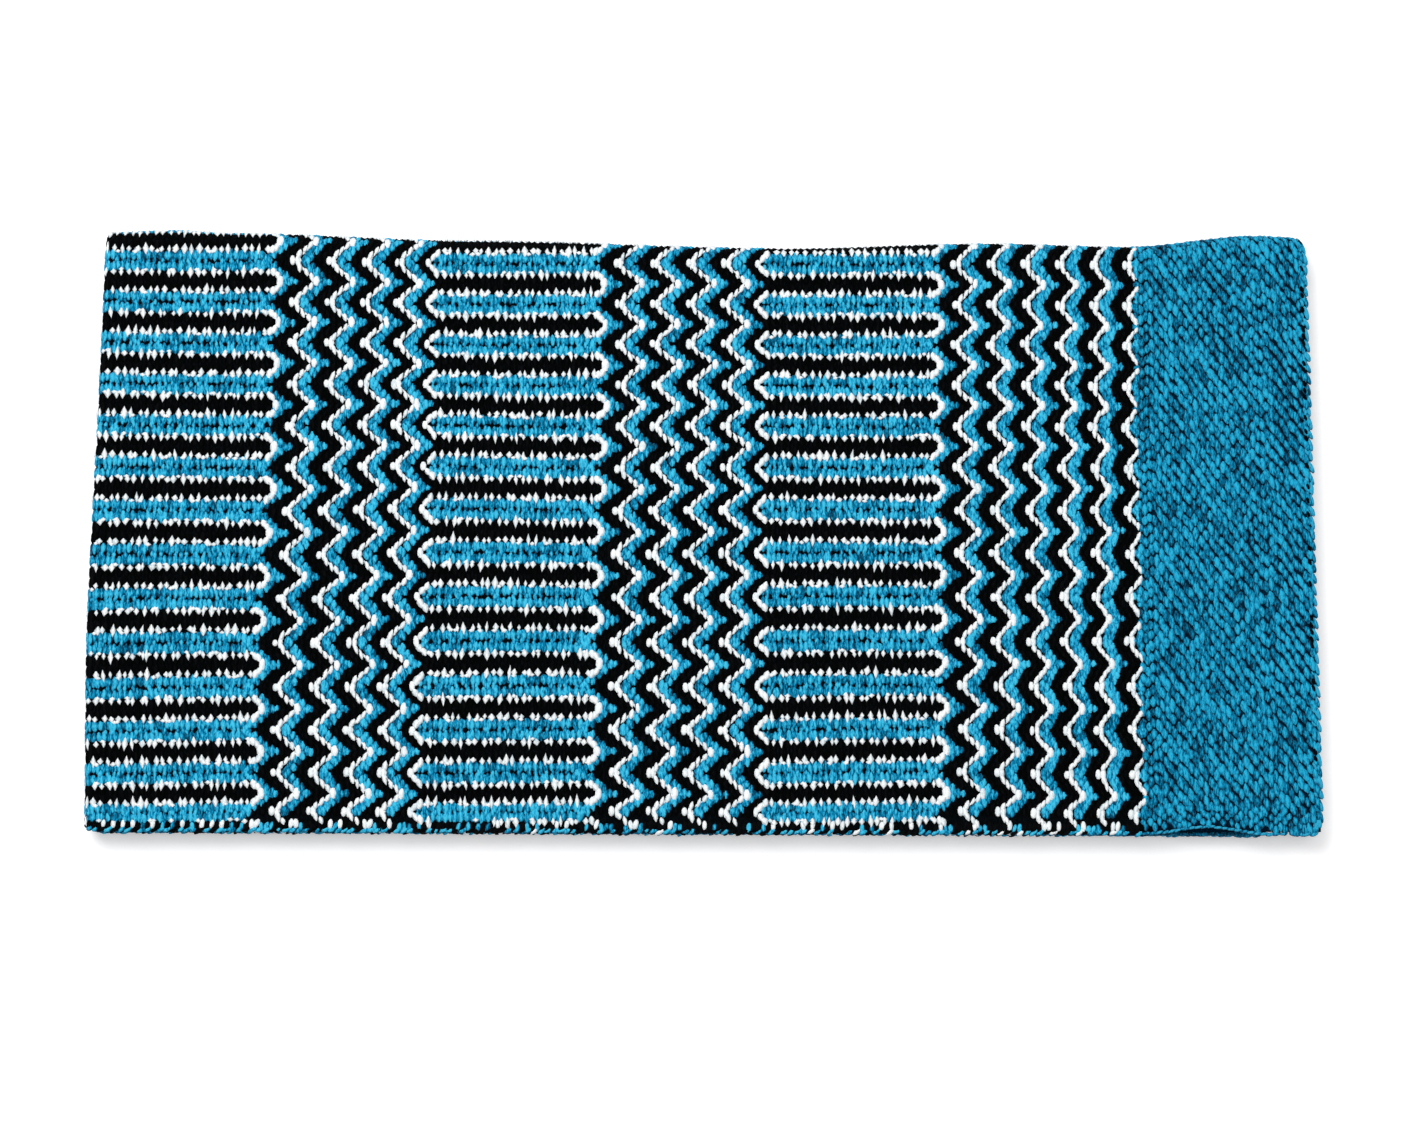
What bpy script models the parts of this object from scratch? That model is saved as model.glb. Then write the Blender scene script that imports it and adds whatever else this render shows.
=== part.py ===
"""Saddle blanket: one thick weft-faced cloth, folded in half twice into a flat pack of four leaves.

The first fold lies across the middle of the length, at the pack's left side (-X). The second lies along
the middle of the width, at its far side (+Y), and wraps all four leaves. The cloth's ends, each with a
plain band, a hem and a looped cord, lie together at the right, and its selvedges along the near side.
Lengths are in metres. X runs along the pack, Y to the far fold, Z up, with the floor at zero.
"""

import math

import bmesh
import bpy

# The cloth, as woven
BLANKET_LENGTH = 1.626
BLANKET_WIDTH = 0.813
CLOTH = 0.006
END_BAND = 0.1206
HEM = 0.017
END_CORD = 0.0058
SELVEDGE_CORD = 0.0056
KNOT_DEPTH = 0.0135
KNOT_OUTER_ROUND = 0.009
KNOT_ROUND = 0.0018

# How it is folded
SEAM_GAP = 0.0003
LENGTH_FOLD_OFF_MIDDLE = 0.018
WIDTH_FOLD_SAG = 0.006
CORNER_ROUND = 0.012
EDGE_ROUND = 0.0012

# The near edge of the top leaf, which arches up beside its corner
ARCH_LENGTH = 0.086
ARCH_RECESS = 0.0048
ARCH_RISE = 0.0015
ARCH_REACH = 0.028
ARCH_MIDWAY_SHARE = 0.33

# Numbers of facets
PANEL_STEPS = 14
BAND_STEPS = 8
CORNER_STEPS = 5
CORD_SIDES = 8
FOLD_STEPS = 9
KNUCKLE_STEPS = 8
OUTER_ROUND_STEPS = 5
ROUND_STEPS = 2

# What the folds make of those sizes
LAYER = CLOTH + SEAM_GAP
LEAVES = ("base", "second", "third", "top")
STACK_MIDDLE = (len(LEAVES) * LAYER - SEAM_GAP) / 2
LENGTH_FOLD_ARC = math.pi * LAYER / 2
INNER_FOLD_ARC = LENGTH_FOLD_ARC
OUTER_FOLD_ARC = 3 * INNER_FOLD_ARC
FLAT_LENGTH = BLANKET_LENGTH - LENGTH_FOLD_ARC
LONG_LEAF = FLAT_LENGTH / 2 + LENGTH_FOLD_OFF_MIDDLE
SHORT_LEAF = FLAT_LENGTH / 2 - LENGTH_FOLD_OFF_MIDDLE
LEAF_DEPTH = (BLANKET_WIDTH - INNER_FOLD_ARC) / 2
BASE_DEPTH = BLANKET_WIDTH - OUTER_FOLD_ARC - LEAF_DEPTH
FOLD_REACH = LAYER - SEAM_GAP / 2

PACK_LENGTH = LONG_LEAF + FOLD_REACH
PACK_DEPTH = LEAF_DEPTH + STACK_MIDDLE
LEFT = FOLD_REACH - PACK_LENGTH / 2
FAR = PACK_DEPTH / 2 - STACK_MIDDLE

# Colours of the yarns, linear
BLACK_WHITE_BLUE = (0.07, 0.19, 0.24)
TURQUOISE = (0.012, 0.27, 0.46)
TURQUOISE_DEEP = (0.009, 0.2, 0.36)
MOTTLED = (0.05, 0.13, 0.17)


class Leaf:
    """One of the four layers: its place in the stack and its own edges."""

    def __init__(self, name):
        self.name = name
        self.low = LEAVES.index(name) * LAYER
        self.right = LEFT + (SHORT_LEAF if name in ("second", "third") else LONG_LEAF)
        self.near = FAR - (BASE_DEPTH if name == "base" else LEAF_DEPTH)
        self.band_start = self.right - END_BAND
        self.hem_end = self.right - END_CORD - SEAM_GAP
        self.hem_start = self.hem_end - HEM
        self.cloth_near = self.near + SELVEDGE_CORD + SEAM_GAP
        self.hem_near = self.near + KNOT_DEPTH + SEAM_GAP

    def arch(self, x):
        """How far, from 0 to 1, the near edge has arched up at x."""
        along = (x - self.band_start) / ARCH_LENGTH
        if self.name != "top" or not 0 < along < 1:
            return 0
        return math.sin(math.pi * along) ** 2


def far_edge(x, right):
    """Y of the line where the leaves turn into the width fold, for a cloth that ends at right."""
    along = min(max((x - LEFT) / (LONG_LEAF - CORNER_ROUND), 0), 1)
    past = min(max(x - right + CORNER_ROUND, 0), CORNER_ROUND)
    corner = CORNER_ROUND - math.sqrt(CORNER_ROUND ** 2 - past ** 2)
    return FAR - WIDTH_FOLD_SAG * math.sin(math.pi * along) ** 2 - corner


def material(name, colour):
    made = bpy.data.materials.new(name)
    made.use_nodes = True
    shader = made.node_tree.nodes["Principled BSDF"]
    shader.inputs["Base Color"].default_value = (*colour, 1)
    shader.inputs["Roughness"].default_value = 0.9
    shader.inputs["Metallic"].default_value = 0
    made.diffuse_color = (*colour, 1)
    return made


def finish(mesh, name, look, smooth=False):
    """Turns a bmesh into a named object with its material, its faces all pointing out."""
    bmesh.ops.recalc_face_normals(mesh, faces=mesh.faces)
    data = bpy.data.meshes.new(name)
    mesh.to_mesh(data)
    mesh.free()
    if smooth:
        data.shade_smooth()
        data.set_sharp_from_angle(angle=math.radians(50))
    made = bpy.data.objects.new(name, data)
    data.materials.append(look)
    bpy.context.collection.objects.link(made)
    return made


def loft(name, rings, look, smooth=True):
    """A closed skin over a row of rings that have the same number of points."""
    mesh = bmesh.new()
    loops = [[mesh.verts.new(point) for point in ring] for ring in rings]
    for loop, after in zip(loops, loops[1:]):
        for k in range(len(loop)):
            mesh.faces.new((loop[k - 1], loop[k], after[k], after[k - 1]))
    mesh.faces.new(loops[0])
    mesh.faces.new(loops[-1])
    return finish(mesh, name, look, smooth)


def steps(start, end, count):
    return [start + (end - start) * k / count for k in range(count + 1)]


def toward_corner(start, right):
    """Stations along X that follow the rounded far corner."""
    straight_end = right - CORNER_ROUND
    if start >= straight_end:
        return [start]
    turn = [
        straight_end + CORNER_ROUND * math.sin(math.pi / 2 * k / CORNER_STEPS)
        for k in range(CORNER_STEPS + 1)
    ]
    return steps(start, straight_end, BAND_STEPS)[:-1] + turn


def cloth_ring(leaf, x, near_edge):
    """Section of a leaf at x, from its near edge to the width fold."""
    arch = leaf.arch(x)
    near = near_edge + ARCH_RECESS * arch
    far = far_edge(x, leaf.right) - SEAM_GAP
    low, high = leaf.low, leaf.low + CLOTH
    rise = ARCH_RISE * arch
    return [
        (x, near, low + rise),
        (x, near, high - EDGE_ROUND + rise),
        (x, near + EDGE_ROUND, high + rise),
        (x, near_edge + ARCH_REACH / 2, high + rise * ARCH_MIDWAY_SHARE),
        (x, near_edge + ARCH_REACH, high),
        (x, far, high),
        (x, far, low),
        (x, near_edge + ARCH_REACH, low),
        (x, near_edge + ARCH_REACH / 2, low + rise * ARCH_MIDWAY_SHARE),
    ]


def patterned_panel(leaf, look):
    stations = steps(LEFT + SEAM_GAP, leaf.band_start - SEAM_GAP, PANEL_STEPS)
    rings = [cloth_ring(leaf, x, leaf.cloth_near) for x in stations]
    loft(f"{leaf.name}_patterned_panel", rings, look, False)


def end_band(leaf, look):
    stations = steps(leaf.band_start, leaf.hem_start - SEAM_GAP, BAND_STEPS)
    rings = [cloth_ring(leaf, x, leaf.cloth_near) for x in stations]
    loft(f"{leaf.name}_end_band", rings, look, False)


def end_hem(leaf, look):
    """The strip of packed rows along the cloth's end, from the width fold to the corner knot."""
    stations = [x for x in toward_corner(leaf.hem_start, leaf.right) if x < leaf.hem_end]
    rings = [cloth_ring(leaf, x, leaf.hem_near) for x in stations + [leaf.hem_end]]
    loft(f"{leaf.name}_end_hem", rings, look, False)


def end_cord(leaf, look):
    """The looped cord along the cloth's end, from the width fold to the corner knot."""
    radius = END_CORD / 2
    middle = leaf.right - radius
    height = leaf.low + CLOTH / 2
    near = leaf.hem_near
    rings = []
    for share in steps(0, 1, BAND_STEPS):
        ring = []
        for side in range(CORD_SIDES):
            angle = 2 * math.pi * (side + 0.5) / CORD_SIDES
            x = middle + radius * math.cos(angle) / math.cos(math.pi / CORD_SIDES)
            z = height + radius * math.sin(angle) / math.cos(math.pi / CORD_SIDES)
            far = far_edge(x, leaf.right) - SEAM_GAP
            ring.append((x, near + (far - near) * share, z))
        rings.append(ring)
    loft(f"{leaf.name}_looped_end_cord", rings, look)


def selvedge_cord(leaf, look):
    """The cord of outer warps along the near side, from the length fold to the corner knot."""
    radius = SELVEDGE_CORD / 2
    height = leaf.low + CLOTH / 2
    right = leaf.hem_start - SEAM_GAP
    stations = steps(LEFT + SEAM_GAP, leaf.band_start, PANEL_STEPS)
    stations += steps(leaf.band_start, right, BAND_STEPS)[1:]
    rings = []
    for x in stations:
        arch = leaf.arch(x)
        middle = leaf.near + radius + ARCH_RECESS * arch
        ring = []
        for side in range(CORD_SIDES):
            angle = 2 * math.pi * (side + 0.5) / CORD_SIDES
            y = middle + radius * math.cos(angle) / math.cos(math.pi / CORD_SIDES)
            z = height + radius * math.sin(angle) / math.cos(math.pi / CORD_SIDES)
            ring.append((x, y, z + ARCH_RISE * arch))
        rings.append(ring)
    loft(f"{leaf.name}_selvedge_cord", rings, look)


def corner_knot(leaf, look):
    """The plump corner of tied cord ends, rounded most at the blanket's own corner."""
    corners = [
        (leaf.right, leaf.near, KNOT_OUTER_ROUND, -90, OUTER_ROUND_STEPS),
        (leaf.right, leaf.near + KNOT_DEPTH, KNOT_ROUND, 0, ROUND_STEPS),
        (leaf.hem_start, leaf.near + KNOT_DEPTH, KNOT_ROUND, 90, ROUND_STEPS),
        (leaf.hem_start, leaf.near, KNOT_ROUND, 180, ROUND_STEPS),
    ]
    middle_x = (leaf.hem_start + leaf.right) / 2
    middle_y = leaf.near + KNOT_DEPTH / 2
    rings = []
    for height, inset in ((0, EDGE_ROUND), (EDGE_ROUND, 0), (CLOTH - EDGE_ROUND, 0), (CLOTH, EDGE_ROUND)):
        ring = []
        for x, y, radius, start, count in corners:
            centre_x = x - math.copysign(radius, x - middle_x)
            centre_y = y - math.copysign(radius, y - middle_y)
            out = radius - inset
            for step in range(count + 1):
                turn = math.radians(start + 90 * step / count)
                place = (centre_x + out * math.cos(turn), centre_y + out * math.sin(turn))
                ring.append((*place, leaf.low + height))
        rings.append(ring)
    loft(f"{leaf.name}_corner_knot", rings, look)


def bow(inner, outer):
    """A half ring from its lower end round to its upper end, as (reach, height) points."""
    angles = [-math.pi / 2 + math.pi * k / FOLD_STEPS for k in range(FOLD_STEPS + 1)]
    outside = [(outer * math.cos(a), outer * math.sin(a)) for a in angles]
    inside = [(inner * math.cos(a), inner * math.sin(a)) for a in reversed(angles)]
    return outside + inside


def length_fold(name, lower, look):
    """The turn at the left that joins a leaf to the one above it, without the width fold."""
    middle = lower.low + CLOTH + SEAM_GAP / 2
    upper_near = FAR - LEAF_DEPTH
    near = max(lower.near, upper_near)
    section = bow(SEAM_GAP / 2, FOLD_REACH)
    rings = [
        [(LEFT - reach, y, middle + height) for reach, height in section]
        for y in (near, FAR - SEAM_GAP)
    ]
    loft(name, rings, look)


def width_fold(name, inner, outer, right, look):
    """The turn at the far side that joins two leaves, from the left fold to the cloth's end."""
    section = bow(inner, outer)
    stations = steps(LEFT + SEAM_GAP, right - END_BAND, PANEL_STEPS)[:-1]
    stations += toward_corner(right - END_BAND, right)
    rings = [
        [(x, far_edge(x, right) + reach, STACK_MIDDLE + height) for reach, height in section]
        for x in stations
    ]
    loft(name, rings, look)


def far_left_knuckle(look):
    """The length fold's own turn round the width fold, a doubled corner shaped like half a ring."""
    section = bow(SEAM_GAP / 2, FOLD_REACH)
    rings = []
    for step in range(KNUCKLE_STEPS + 1):
        turn = -math.pi / 2 + math.pi * step / KNUCKLE_STEPS
        ring = []
        for reach, height in section:
            out = LAYER + height
            ring.append((LEFT - reach, FAR + out * math.cos(turn), STACK_MIDDLE + out * math.sin(turn)))
        rings.append(ring)
    loft("far_left_knuckle", rings, look)


def build():
    for old in list(bpy.data.objects):
        bpy.data.objects.remove(old)

    pattern = material("patterned_weave", BLACK_WHITE_BLUE)
    plain = material("turquoise_weave", TURQUOISE)
    cord = material("turquoise_cord", TURQUOISE_DEEP)
    mottled = material("mottled_selvedge", MOTTLED)

    leaves = {name: Leaf(name) for name in LEAVES}
    for leaf in leaves.values():
        patterned_panel(leaf, pattern)
        end_band(leaf, plain)
        end_hem(leaf, plain)
        end_cord(leaf, cord)
        selvedge_cord(leaf, mottled)
        corner_knot(leaf, cord)

    length_fold("length_fold_lower", leaves["base"], pattern)
    length_fold("length_fold_upper", leaves["third"], pattern)
    short_right, long_right = leaves["second"].right, leaves["base"].right
    width_fold("width_fold_inner", SEAM_GAP / 2, FOLD_REACH, short_right, pattern)
    width_fold("width_fold_outer", LAYER + SEAM_GAP / 2, STACK_MIDDLE, long_right, pattern)
    far_left_knuckle(pattern)


build()
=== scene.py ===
# %% [markdown]
# # A woven saddle blanket, folded in four
#
# A saddle blanket of this kind is one thick woollen cloth. Its weft is beaten down so hard that it hides the
# warp, and what the eye sees is thousands of short floats of dyed yarn. Here it is folded in half twice and
# lies flat. The cloth could be one smooth sheet with a printed pattern, but its edges, folds and gaps would
# then look printed too. So this lesson models one float by hand and lays it thousands of times along the
# folded cloth, one colour at a time.

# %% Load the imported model
import math

import bpy
import numpy as np
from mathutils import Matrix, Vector


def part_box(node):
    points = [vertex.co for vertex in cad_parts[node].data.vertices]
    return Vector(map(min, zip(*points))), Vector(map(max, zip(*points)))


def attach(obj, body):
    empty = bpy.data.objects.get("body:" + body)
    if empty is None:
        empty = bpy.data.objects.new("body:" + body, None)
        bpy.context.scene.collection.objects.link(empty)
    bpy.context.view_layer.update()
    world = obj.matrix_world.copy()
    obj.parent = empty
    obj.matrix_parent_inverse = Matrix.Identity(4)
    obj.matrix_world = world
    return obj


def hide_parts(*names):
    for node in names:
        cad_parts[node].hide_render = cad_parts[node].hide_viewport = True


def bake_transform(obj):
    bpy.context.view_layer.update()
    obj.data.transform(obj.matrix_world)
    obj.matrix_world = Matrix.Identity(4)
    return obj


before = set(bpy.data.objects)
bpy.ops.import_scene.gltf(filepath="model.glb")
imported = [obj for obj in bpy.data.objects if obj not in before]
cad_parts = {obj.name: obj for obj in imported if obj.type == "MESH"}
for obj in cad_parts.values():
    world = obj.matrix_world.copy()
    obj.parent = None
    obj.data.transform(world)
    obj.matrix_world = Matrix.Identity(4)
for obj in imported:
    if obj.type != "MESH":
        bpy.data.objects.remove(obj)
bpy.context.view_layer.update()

# %% [markdown]
# ## Camera, floor and light
#
# The photograph looks almost straight down, tilted a little towards the near side. A long lens far away keeps
# the pack's sides nearly parallel, as they are there. The tilt, lens and aim come from matching the pack's
# outline. The floor is a plain pale plane that keeps the soft contact shadow.

# %% The camera
CAMERA_TILT = math.radians(8.9)
CAMERA_TURN = math.radians(0.2)
CAMERA_DISTANCE = 2.0
CAMERA_LENS = 75.4
CAMERA_AIM = Vector((-0.0009, -0.0214, 0.02))

camera_data = bpy.data.cameras.new("camera")
camera_data.lens = CAMERA_LENS
camera = bpy.data.objects.new("camera", camera_data)
bpy.context.collection.objects.link(camera)
camera.rotation_euler = (CAMERA_TILT, 0, CAMERA_TURN)
camera_back = Vector((0, -math.sin(CAMERA_TILT), math.cos(CAMERA_TILT)))
camera.location = CAMERA_AIM + CAMERA_DISTANCE * camera_back
bpy.context.scene.camera = camera
bpy.context.scene.view_settings.view_transform = "Standard"
print("camera", round(math.degrees(CAMERA_TILT), 1), "degrees from straight down")


# %% One helper for every shader node
def add_node(tree, kind, settings=None, inputs=None):
    """Adds a shader node, sets its properties, and fills its inputs with values or other nodes' outputs."""
    node = tree.nodes.new("ShaderNode" + kind)
    for key, value in (settings or {}).items():
        setattr(node, key, value)
    for key, value in (inputs or {}).items():
        if isinstance(value, bpy.types.NodeSocket):
            tree.links.new(value, node.inputs[key])
        else:
            node.inputs[key].default_value = value
    return node


def colour(code):
    """A hex sRGB colour as Blender's linear colour."""
    parts = [int(code[i:i + 2], 16) / 255 for i in (1, 3, 5)]
    linear = [p / 12.92 if p <= 0.04045 else ((p + 0.055) / 1.055) ** 2.4 for p in parts]
    return (*linear, 1.0)


def new_material(name):
    """An empty material, and its node tree."""
    material = bpy.data.materials.new(name)
    material.use_nodes = True
    material.node_tree.nodes.clear()
    return material, material.node_tree


# %% The floor and the white surround
WHITE = (1, 1, 1, 1)
FLOOR_SIZE = 3.2
FLOOR_COLOUR = "#F2F2F3"
FLOOR_LIFT = 0.30
WORLD_LIGHT = 0.30


def seen_directly(tree):
    """One for rays that come from the eye, straight or by a mirror or glass, and nought for the rest."""
    ray = add_node(tree, "LightPath").outputs
    seen = add_node(tree, "Math", {"operation": "ADD"},
                    {0: ray["Is Camera Ray"], 1: ray["Is Glossy Ray"]})
    seen = add_node(tree, "Math", {"operation": "ADD", "use_clamp": True},
                    {0: seen.outputs[0], 1: ray["Is Transmission Ray"]})
    return seen.outputs[0]


floor_material, tree = new_material("matt_white_floor")
lift = add_node(tree, "Math", {"operation": "MULTIPLY"}, {0: seen_directly(tree), 1: FLOOR_LIFT})
matt = add_node(tree, "BsdfDiffuse", inputs={"Color": colour(FLOOR_COLOUR)})
glow = add_node(tree, "Emission", inputs={"Color": WHITE, "Strength": lift.outputs[0]})
both = add_node(tree, "AddShader", inputs={0: matt.outputs[0], 1: glow.outputs[0]})
add_node(tree, "OutputMaterial", inputs={"Surface": both.outputs[0]})

bpy.ops.mesh.primitive_plane_add(size=FLOOR_SIZE, location=(0, 0, 0))
floor = bpy.context.object
floor.name = "floor"
floor.data.materials.append(floor_material)

world = bpy.data.worlds.new("studio")
bpy.context.scene.world = world
world.use_nodes = True
tree = world.node_tree
tree.nodes.clear()
strength = add_node(tree, "MapRange",
                    inputs={"Value": seen_directly(tree), "To Min": WORLD_LIGHT, "To Max": 1.0})
surround = add_node(tree, "Background", inputs={"Color": WHITE, "Strength": strength.outputs[0]})
add_node(tree, "OutputWorld", inputs={"Surface": surround.outputs[0]})


# %% Two soft lamps
def soft_lamp(name, place, size, power):
    """A square lamp with a soft shadow, aimed at the pack."""
    data = bpy.data.lights.new(name, "AREA")
    data.size = size
    data.energy = power
    lamp = bpy.data.objects.new(name, data)
    bpy.context.collection.objects.link(lamp)
    lamp.location = place
    lamp.rotation_euler = (-Vector(place)).to_track_quat("-Z", "Y").to_euler()


soft_lamp("softbox_far_left", (-0.8, 1.0, 2.5), 1.3, 47)
soft_lamp("softbox_overhead", (0.4, -0.1, 2.8), 1.8, 26)

# %% [markdown]
# ## The folded cloth as a map
#
# The real cloth is flat, and two folds make the pack. So every piece below is first placed on flat cloth, by
# three numbers: its reach from the length fold, its run across the width, and its height above the cloth's
# inner face. One function then folds that place into the pack: round the length fold at the left, then round
# the width fold at the far side. Rows of weave cross both folds without a seam, as they do on the blanket.

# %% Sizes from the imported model
MM = 0.001
LEAVES = ("base", "second", "third", "top")
LONG_LEAVES = ("base", "top")
UPPER_LEAVES = ("third", "top")


def leaf_sizes(name):
    """Where a leaf lies and ends, from its solids."""
    panel_low, panel_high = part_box(f"{name}_patterned_panel")
    hem_low, hem_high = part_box(f"{name}_end_hem")
    knot_low, knot_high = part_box(f"{name}_corner_knot")
    return {
        "low": panel_low[2], "band_start": panel_high[0], "hem_start": hem_low[0], "hem_end": hem_high[0],
        "right": knot_high[0], "near": knot_low[1], "knot_near": knot_high[1],
    }


leaf = {name: leaf_sizes(name) for name in LEAVES}
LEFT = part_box("top_patterned_panel")[0][0]
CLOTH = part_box("base_patterned_panel")[1][2]
LAYER = leaf["second"]["low"]
GAP = (LAYER - CLOTH) / 2
STACK_MIDDLE = (leaf["third"]["low"] + leaf["second"]["low"] + CLOTH) / 2
OUTLINE_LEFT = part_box("length_fold_upper")[0][0]
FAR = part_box("length_fold_upper")[1][1] + 2 * GAP
LONG_RIGHT, SHORT_RIGHT = leaf["top"]["right"], leaf["third"]["right"]
LONG_BAND, SHORT_BAND = leaf["top"]["band_start"], leaf["third"]["band_start"]
SHORTER = LONG_RIGHT - SHORT_RIGHT
NEAR, LOWER_NEAR = leaf["top"]["near"], leaf["base"]["near"]
LOWER_DEPTH = FAR - LOWER_NEAR
print("cloth", round(CLOTH / MM, 2), "mm thick, short leaves", round(SHORTER / MM, 1), "mm shorter")

# %% The far edge, the arched near edge and the swell of the length fold
# shares of the pack's length from the left, and how far the far edge sags there in millimetres
FAR_SAG_PLACES = (0.0, 0.05, 0.10, 0.30, 0.56, 0.74, 0.85, 0.96, 1.0)
FAR_SAG = (-3.2, -4.6, -2.9, 2.0, 6.6, 2.8, 4.8, -3.4, -1.8)
CORNER_ROUND = 8 * MM
ARCH_LENGTH = 86 * MM
ARCH_RECESS = 4.8 * MM
ARCH_RISE = 1.5 * MM
ARCH_REACH = 28 * MM
SWELL = 3.6 * MM
SWELL_MIDDLE = -0.075
SWELL_FAR, SWELL_NEAR = 0.16, 0.09
SWELL_REACH = 0.35


def eased(x, places, values):
    """A smooth line through a few values, level at each of them."""
    place = np.searchsorted(places, x, side="right").clip(1, len(places) - 1)
    low, high = np.take(places, place - 1), np.take(places, place)
    share = np.clip((x - low) / (high - low), 0, 1)
    share = share * share * (3 - 2 * share)
    return np.take(values, place - 1) * (1 - share) + np.take(values, place) * share


def far_edge(x, right):
    """Y of the line where the leaves turn into the width fold."""
    sag = MM * eased((x - LEFT) / (LONG_RIGHT - LEFT), FAR_SAG_PLACES, FAR_SAG)
    past = np.clip(x - right + CORNER_ROUND, 0, CORNER_ROUND)
    corner = CORNER_ROUND - np.sqrt(CORNER_ROUND ** 2 - past ** 2)
    return FAR - sag - corner


def arch_up(x, y, z, on_top):
    """Draws the top leaf's near edge back and up a little along its end band."""
    along = np.clip((x - LONG_BAND) / ARCH_LENGTH, 0, 1)
    share = np.clip(1 - (y - NEAR) / ARCH_REACH, 0, 1) * np.sin(math.pi * along) ** 2 * on_top
    return y + ARCH_RECESS * share, z + ARCH_RISE * share


# %% Fold a place on the cloth into the pack
FOLD_HALF = 8 * MM
ROW_PERIOD = 29.41 * MM
CREASE_HALF = 1.6 * MM
TURN_HALF = CREASE_HALF + ROW_PERIOD / 2
HINGE_Y = 201.55 * MM      # the line that the width fold opens about
CREASE_REACH = 10.6 * MM   # how far the inner crease can lie out towards that line
CREASE_THIN = 0.35         # the share of its thickness that the cloth keeps there
CREASE_OVER = 0.2 * MM


def x_on_leaf(reach):
    """X of a reach, with the length fold itself left out."""
    return LEFT + np.maximum(np.abs(reach) - FOLD_HALF, 0)


def right_end(reach):
    """X where the leaf of a reach ends."""
    return np.where(reach > 0, LONG_RIGHT, SHORT_RIGHT)


def on_cloth(reach, run, height):
    """The place in the pack of points of the cloth.

    Reach is along the blanket from the middle of its length fold, positive on the long leaves. Run is across
    it, the same as y on the upper leaves, and goes on round the width fold. Height is above the inner face.
    In the inner crease the cloth is squeezed thin and lies flat out to the hinge line, so that it opens flat.
    """
    turn = np.clip(reach / FOLD_HALF, -1, 1) * math.pi / 2
    x = x_on_leaf(reach) - (GAP + height) * np.cos(turn)
    out = LAYER + (GAP + height) * np.sin(turn)
    far = far_edge(x, right_end(reach))
    left_of_turn = far + TURN_HALF - run
    angle = np.clip(left_of_turn / TURN_HALF, -1, 1) * math.pi / 2
    past = run - 2 * TURN_HALF - FAR
    lower = FAR - past - 2 * (FAR - far) * (1 - past / LOWER_DEPTH)
    y = np.where(left_of_turn >= TURN_HALF, run,
                 np.where(left_of_turn <= -TURN_HALF, lower, far + out * np.cos(angle)))
    z = STACK_MIDDLE + out * np.sin(angle)
    flat = np.clip(-reach / FOLD_HALF, 0, 1) * (np.abs(left_of_turn) < TURN_HALF)
    onward = (1 - np.abs(left_of_turn) / TURN_HALF) * np.minimum(HINGE_Y - far, CREASE_REACH)
    inside = GAP + CREASE_THIN * np.maximum(CLOTH - height, -CREASE_OVER)
    y = y + flat * (far + onward - y)
    z = z + flat * (STACK_MIDDLE + np.where(left_of_turn >= 0, inside, -inside) - z)
    on_top = (reach > FOLD_HALF) & (left_of_turn >= TURN_HALF)
    y, z = arch_up(x, y, z, on_top)
    away = (y - SWELL_MIDDLE) / np.where(y > SWELL_MIDDLE, SWELL_FAR, SWELL_NEAR)
    swell = SWELL * np.exp(-away ** 2) * np.clip(1 - (x - LEFT) / SWELL_REACH, 0, 1) ** 2
    return np.stack([x - swell, y, z], axis=-1)


def reach_at(x, long_side):
    """Reach of a place x on a leaf of the long or the short side."""
    distance = x - LEFT + FOLD_HALF
    return distance if long_side else -distance


def run_at(x, y, upper, right):
    """Run of a place on an upper or lower leaf that ends at right."""
    if upper:
        return y + 0 * x
    drop = 2 * (FAR - far_edge(x, right))
    return (FAR - y - drop) / (1 - drop / LOWER_DEPTH) + 2 * TURN_HALF + FAR


print("rows repeat every", ROW_PERIOD / MM, "mm, and the far turn takes", round(2 * TURN_HALF / MM, 1), "mm")

# %% [markdown]
# ## Dyed wool
#
# The yarn is a thick woollen singles: matt, slightly hairy, with streaks along its fibres and a small change
# of depth from one float to the next where the dye took unevenly. One function builds that finish from three
# shades. A float's own shade comes from an attribute that each mesh carries: a random part, so neighbours
# differ, and painted shade that darkens each float towards its base, where it sinks between its neighbours.

# %% Wool materials
FIBRE_STREAK = 1.5 * MM   # real fibres are far finer, and are drawn this coarse so that they show
FIBRE_STRETCH = (1.5, 0.5, 1.0)
YARN_TWIST = 1.3 * MM
TWIST_DEPTH = 0.5 * MM
TWIST_SHARE = 0.5
WAVE_REPEAT = 0.314   # metres between the crests of a wave texture of scale 1
DYE_PATCH = 26 * MM
FIBRE_SHARE, PATCH_SHARE, SHADE_LOSS = 2.3, 0.4, 0.85
SHADE_PLACES = (0.12, 0.5, 0.88)


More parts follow.
